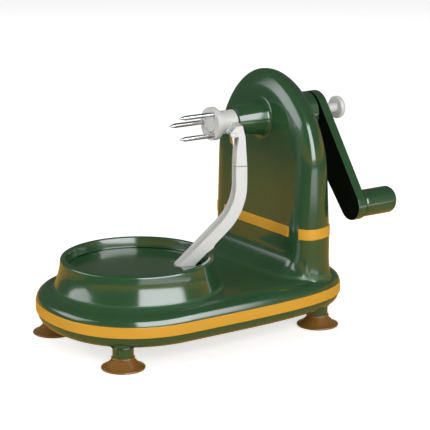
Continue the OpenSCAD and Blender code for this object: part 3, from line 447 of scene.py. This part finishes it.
# %% Spin the grip and the button
low, high = (Vector(corner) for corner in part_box("handle_grip"))
grip_r = (high.z - low.z) / 2 / MM
grip_l = (high.x - low.x) / MM
PIN_BORE = 2.56
BORE_END = 4.0
GRIP_END_R = 3.2
GRIP_FOOT_R = 1.5
PALM_RISE = 0.35
PALM_IN = 1.2
PALM_FLAT = 0.12
grip_profile = [(0, grip_l - BORE_END), (PIN_BORE, grip_l - BORE_END), (PIN_BORE, 0)]
grip_profile += rounded(grip_r - GRIP_FOOT_R, GRIP_FOOT_R, GRIP_FOOT_R, -90, 0, 8)
grip_profile += rounded(grip_r - GRIP_END_R, grip_l - GRIP_END_R - PALM_RISE, GRIP_END_R, 0, 80, 10)
grip_profile += [(grip_r - GRIP_END_R - PALM_IN, grip_l - PALM_FLAT), (0, grip_l)]
grip_foot = Vector((low.x, (low.y + high.y) / 2, (low.z + high.z) / 2))
add_piece("handle_grip_turned", turned(grip_profile, grip_foot, (1, 0, 0)), "handle_grip")

low, high = (Vector(corner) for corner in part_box("ejector_button"))
button_r = (high.z - low.z) / 2 / MM
button_end = (high.x - low.x) / MM
BUTTON_T = 4.0
STEM_R = 2.5
STEM_EDGE = 0.3
NECK = ((0, -0.6), (0.2, -0.15), (0.7, 0))
RIM_R = 0.8
FACE_R = 1.9
FACE_RISE = 2.3
face = button_end - BUTTON_T
button_profile = [(0, 0), (STEM_R - STEM_EDGE, 0), (STEM_R, STEM_EDGE)]
button_profile += [(STEM_R + out, face + along) for out, along in NECK]
button_profile += rounded(button_r - RIM_R, face + RIM_R, RIM_R, -90, 0)
button_profile += rounded(button_r - FACE_R, button_end - FACE_RISE, FACE_R, 0, 75, 8) + [(0, button_end)]
button_foot = Vector((low.x, (low.y + high.y) / 2, (low.z + high.z) / 2))
add_piece("ejector_button_turned", turned(button_profile, button_foot, (1, 0, 0)), "ejector_button")

# %% [markdown]
# ## Screws
# Four screws hold the tower's back cover, and four hold the tray. They are ordinary pan heads with a cross
# recess. A head starts as a disc that four cuts divide, so that the faces of the cross can be pushed in; the
# disc's edge is then drawn down to the seat and on to the shank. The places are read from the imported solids.


# %% Helpers for the screws
def islands(node):
    """Corners of each separate solid in a node."""
    bm = joined_copy(node)
    found = []
    left = set(bm.verts)
    while left:
        group = [left.pop()]
        for vert in group:
            for edge in vert.link_edges:
                other = edge.other_vert(vert)
                if other in left:
                    left.remove(other)
                    group.append(other)
        corners = [[pick(v.co[i] for v in group) for i in range(3)] for pick in (min, max)]
        found.append([Vector(corner) for corner in corners])
    bm.free()
    return found


HEAD_R = 2.7 * MM
HEAD_T = 1.5 * MM
SHANK_R = 1.4 * MM
SLOT_W = 0.9 * MM
SLOT_L = 1.6 * MM
SLOT_D = 0.9 * MM
SLOT_TAPER = 0.8
CROWN_IN = 0.35 * MM
TIP = 0.2
HEAD_ROWS = [(HEAD_R - 0.1 * MM, -0.12 * MM), (HEAD_R, -0.4 * MM), (HEAD_R, -HEAD_T), (SHANK_R, -HEAD_T)]


def corners_in(geometry):
    """The corners among what an operator gave back."""
    return [item for item in geometry if isinstance(item, bmesh.types.BMVert)]


def draw_out(bm, edges, radius, z):
    """Carry a round row of edges on to a new radius and height."""
    made = bmesh.ops.extrude_edge_only(bm, edges=edges)["geom"]
    for vert in corners_in(made):
        vert.co = Vector((*(vert.co.xy.normalized() * radius), z))
    return [item for item in made if isinstance(item, bmesh.types.BMEdge)]


def cross_screw(length):
    """A screw along -Z with the top of its head at z = 0."""
    bm = bmesh.new()
    bmesh.ops.create_circle(bm, cap_ends=True, segments=32, radius=HEAD_R - CROWN_IN)
    for axis in ((1, 0, 0), (0, 1, 0)):
        for place in (-SLOT_L, -SLOT_W / 2, SLOT_W / 2, SLOT_L):
            whole = bm.verts[:] + bm.edges[:] + bm.faces[:]
            bmesh.ops.bisect_plane(bm, geom=whole, plane_co=place * Vector(axis), plane_no=axis)
    rim = [edge for edge in bm.edges if edge.is_boundary]
    cross = []
    for face in bm.faces:
        x, y = (abs(v) for v in face.calc_center_median().xy)
        if min(x, y) < SLOT_W / 2 and max(x, y) < SLOT_L:
            cross.append(face)
    pushed = bmesh.ops.extrude_face_region(bm, geom=cross)["geom"]
    bmesh.ops.delete(bm, geom=cross, context="FACES_ONLY")
    for vert in corners_in(pushed):
        vert.co = Vector((SLOT_TAPER * vert.co.x, SLOT_TAPER * vert.co.y, -SLOT_D))
    for radius, z in HEAD_ROWS + [(SHANK_R, -length + SHANK_R), (TIP * SHANK_R, -length)]:
        rim = draw_out(bm, rim, radius, z)
    bmesh.ops.holes_fill(bm, edges=rim, sides=0)
    bmesh.ops.recalc_face_normals(bm, faces=bm.faces)
    return bm


# %% Model the screws
def add_screws(node, out):
    """Model the screws of a node, whose heads face out."""
    out = Vector(out)
    turn = out.to_track_quat("Z", "Y").to_matrix().to_4x4()
    whole = bmesh.new()
    for low, high in islands(node):
        middle = (low + high) / 2
        length = abs((high - low).dot(out))
        one = cross_screw(length)
        bmesh.ops.transform(one, matrix=Matrix.Translation(middle + out * length / 2) @ turn, verts=one.verts)
        mesh = bpy.data.meshes.new("screw")
        one.to_mesh(mesh)
        one.free()
        whole.from_mesh(mesh)
        bpy.data.meshes.remove(mesh)
    add_piece(node + "_cross", whole, node)


add_screws("cover_screws", (1, 0, 0))
add_screws("tray_screws", (0, 0, -1))

# %% [markdown]
# ## Floor and background
# The peeler stands on plain white. So the floor is pale, and takes the shadow, and a little light of its own
# lifts it to white for the camera. Beyond it the world is white. Mirror-like finishes see both as the camera
# does, which is why the three kinds of ray are added up.


# %% Floor and world
def seen_directly(sheet):
    """One for rays from the camera, and for those that a gloss or a glass sends on."""
    kinds = ("Camera", "Glossy", "Transmission")
    rays = [sheet.node("ShaderNodeLightPath", {}, {}, f"Is {kind} Ray") for kind in kinds]
    return rays[0] + rays[1] + rays[2]


def add_stage(name, bm, sheet):
    """A piece of the studio, which isn't part of the peeler."""
    mesh = bpy.data.meshes.new(name)
    bm.to_mesh(mesh)
    bm.free()
    piece = bpy.data.objects.new(name, mesh)
    mesh.materials.append(sheet.material)
    scene.collection.objects.link(piece)
    print("stage:", name)
    return piece


FLOOR_HALF = 2.0
FLOOR_GLOW = 0.64
floor_bm = bmesh.new()
bmesh.ops.create_grid(floor_bm, x_segments=1, y_segments=1, size=FLOOR_HALF)
floor_sheet = Sheet("pale_floor")
floor_sheet.set(Base_Color=(0.9, 0.9, 0.9, 1), Roughness=0.7, Specular_IOR_Level=0.1)
floor_sheet.set(Emission_Strength=FLOOR_GLOW)
floor_sheet.set(Emission_Color=floor_sheet.mix(seen_directly(floor_sheet), (0, 0, 0), (1, 1, 1)))
add_stage("floor", floor_bm, floor_sheet)

ROOM_LEVEL = 0.2
world = bpy.data.worlds.new("room")
world.use_nodes = True
scene.world = world
room_sheet = Sheet.of_tree(world.node_tree, "Background")
room_sheet.set(Color=(1, 1, 1, 1), Strength=ROOM_LEVEL + (1 - ROOM_LEVEL) * seen_directly(room_sheet))

# %% [markdown]
# ## What the gloss reflects
# Deep green gloss shows its surroundings more than its own colour, and a white room would turn it grey. The
# patches on the drum and the tower tell what stood round them: a dim room, a warm board below, and two bright
# windows, one in front and one at the far left. Cards stand in for them, as photographers set them up just
# outside the picture. They light nothing here, because only the gloss sees them.


# %% Helpers for the cards
def gloss_only(piece):
    """Hide a card from everything but reflections."""
    piece.visible_camera = False
    piece.visible_diffuse = False
    piece.visible_transmission = False
    piece.visible_volume_scatter = False
    piece.visible_shadow = False


def glowing(name, near, far, blend):
    """A card that shines from one colour to another along blend(sheet)."""
    sheet = Sheet(name)
    sheet.set(Base_Color=(0, 0, 0, 1), Specular_IOR_Level=0.0)
    sheet.set(Emission_Color=sheet.mix(blend(sheet), near, far), Emission_Strength=1.0)
    return sheet


def away(sheet):
    """Distance from the card's middle."""
    return sheet.node("ShaderNodeVectorMath", {"operation": "LENGTH"}, {0: sheet.place}, "Value")


def turned_from_front(sheet):
    """Degrees that a place is turned from the front, as in direction()."""
    x = sheet.along("X")
    y = sheet.along("Y")
    return (180 / pi) * sheet.node("ShaderNodeMath", {"operation": "ARCTAN2"}, {0: x, 1: -1 * y})


def between(sheet, value, low, high, soft):
    """One between low and high, fading to nothing over soft inside each end."""
    return sheet.ramp(value - low, 0, soft[0]) * sheet.ramp(high - value, 0, soft[1])


# %% Dim room and warm board
DOME_R = 2.5
BOARD_R = 2.4
BOARD_LIFT = 0.05 * MM
ROOM = (0.085, 0.095, 0.075)
ROOM_WARM = (0.60, 0.32, 0.08)
WARM_HEIGHT = (0.30 * DOME_R, 0.02 * DOME_R)
WARM_BACK = (0.45 * DOME_R, 0)
BOARD_WARM = (0.45, 0.25, 0.06)
BOARD_FADE = (0.30, 0.66)
WEDGE_FADE = (0.20, 0.30)
WEDGE_TURNS = (-112, -30)
WEDGE_SOFT = (14, 14)


def warm_front(sheet):
    """One near the horizon in front, falling to nothing higher up and towards the back."""
    return sheet.ramp(sheet.along("Z"), *WARM_HEIGHT) * sheet.ramp(sheet.along("Y"), *WARM_BACK)


dome_bm = bmesh.new()
bmesh.ops.create_uvsphere(dome_bm, u_segments=32, v_segments=16, radius=DOME_R)
gloss_only(add_stage("dim_room", dome_bm, glowing("dim_room", ROOM, ROOM_WARM, warm_front)))

board_bm = bmesh.new()
bmesh.ops.create_circle(board_bm, cap_ends=True, segments=64, radius=BOARD_R)
bmesh.ops.translate(board_bm, verts=board_bm.verts, vec=(0, 0, BOARD_LIFT))


def bare_board(sheet):
    """One where the board isn't warm: far off, and in a wedge that starts a little way to the left."""
    wedge = between(sheet, turned_from_front(sheet), *WEDGE_TURNS, WEDGE_SOFT)
    return sheet.ramp(away(sheet), *BOARD_FADE) + wedge * sheet.ramp(away(sheet), *WEDGE_FADE)


board_sheet = glowing("warm_board", BOARD_WARM, ROOM, bare_board)
gloss_only(add_stage("warm_board", board_bm, board_sheet))


# %% Bright windows
WINDOW_AWAY = 1.0
WINDOW_TINT = (1.0, 1.0, 1.05)
CARD_STEPS = 16


def bent_card(name, turns, rows, strength, soft, ends=None):
    """A bright card between a lower and an upper row of corners, whose sides fade out.

    turns holds the two turns of each row, rows their distance and height, and ends where a flat card
    starts, is bright, is no longer bright and ends."""
    bm = bmesh.new()
    edges = []
    for (first, last), (distance, height) in zip(turns, rows):
        sides = [first + (last - first) * i / CARD_STEPS for i in range(CARD_STEPS + 1)]
        edges.append([bm.verts.new(distance * direction(turn, 0) + Vector((0, 0, height))) for turn in sides])
    low, high = edges
    for i in range(CARD_STEPS):
        bm.faces.new((low[i], low[i + 1], high[i + 1], high[i]))

    def shine(sheet):
        """Bright in the middle, and dim at the sides and ends."""
        foot, rise = rows[0][1], rows[1][1] - rows[0][1]
        up = (sheet.along("Z") - foot) * (1 / rise if rise else 0)
        left, right = (turns[0][i] + (turns[1][i] - turns[0][i]) * up for i in (0, 1))
        sides = between(sheet, turned_from_front(sheet), left, right, soft)
        if not ends:
            return sides
        start, bright_from, bright_to, end = ends
        return sides * sheet.ramp(away(sheet), start, bright_from) * sheet.ramp(away(sheet), end, bright_to)

    bright = [strength * part for part in WINDOW_TINT]
    gloss_only(add_stage(name, bm, glowing(name, ROOM, bright, shine)))


def window(name, low, high, rises, strength, soft):
    """An upright card; low and high hold the turns of its lower and upper corners."""
    rows = [(WINDOW_AWAY, WINDOW_AWAY * tan(radians(rise))) for rise in rises]
    bent_card(name, (low, high), rows, strength, soft)


window("front_window", low=(-34, 37), high=(-36, 50), rises=(8.5, 42), strength=5.6, soft=(6, 12))
window("left_window", low=(-152, -106), high=(-140, -78), rises=(8, 27), strength=2.6, soft=(20, 6))
PATCH_TURNS = (-36, 48)
PATCH_ENDS = (0.29, 0.38, 0.75, 1.0)
patch_rows = [(PATCH_ENDS[i], 2 * BOARD_LIFT) for i in (0, 3)]
bent_card("board_patch", (PATCH_TURNS, PATCH_TURNS), patch_rows, strength=1.8, soft=(6, 6), ends=PATCH_ENDS)

# %% [markdown]
# ## Light
# The light itself is soft and plain: one wide soft box at each window, and a weaker one behind that lifts the
# back. The cards above already show the windows to the gloss, so the lamps are hidden from it.


# %% Lamps
BOX_AWAY = 1.2


def soft_box(name, turn, rise, width, height, radiance):
    """A rectangular lamp that looks at the peeler and shines evenly."""
    lamp = bpy.data.objects.new(name, bpy.data.lights.new(name, "AREA"))
    lamp.data.shape = "RECTANGLE"
    lamp.data.size = width
    lamp.data.size_y = height
    lamp.data.energy = radiance * pi * width * height
    lamp.visible_glossy = False
    face_towards(lamp, AIM + BOX_AWAY * direction(turn, rise), AIM)
    scene.collection.objects.link(lamp)


soft_box("front_box", turn=-8, rise=24, width=1.30, height=0.72, radiance=3.4)
soft_box("left_box", turn=-110, rise=26, width=1.1, height=0.50, radiance=3.0)
soft_box("rear_box", turn=150, rise=34, width=1.0, height=0.60, radiance=1.1)

# %% [markdown]
# ## The view
# Last, colours are shown as they are written, through the Standard view transform.

# %% Show colours as written
scene.view_settings.view_transform = "Standard"
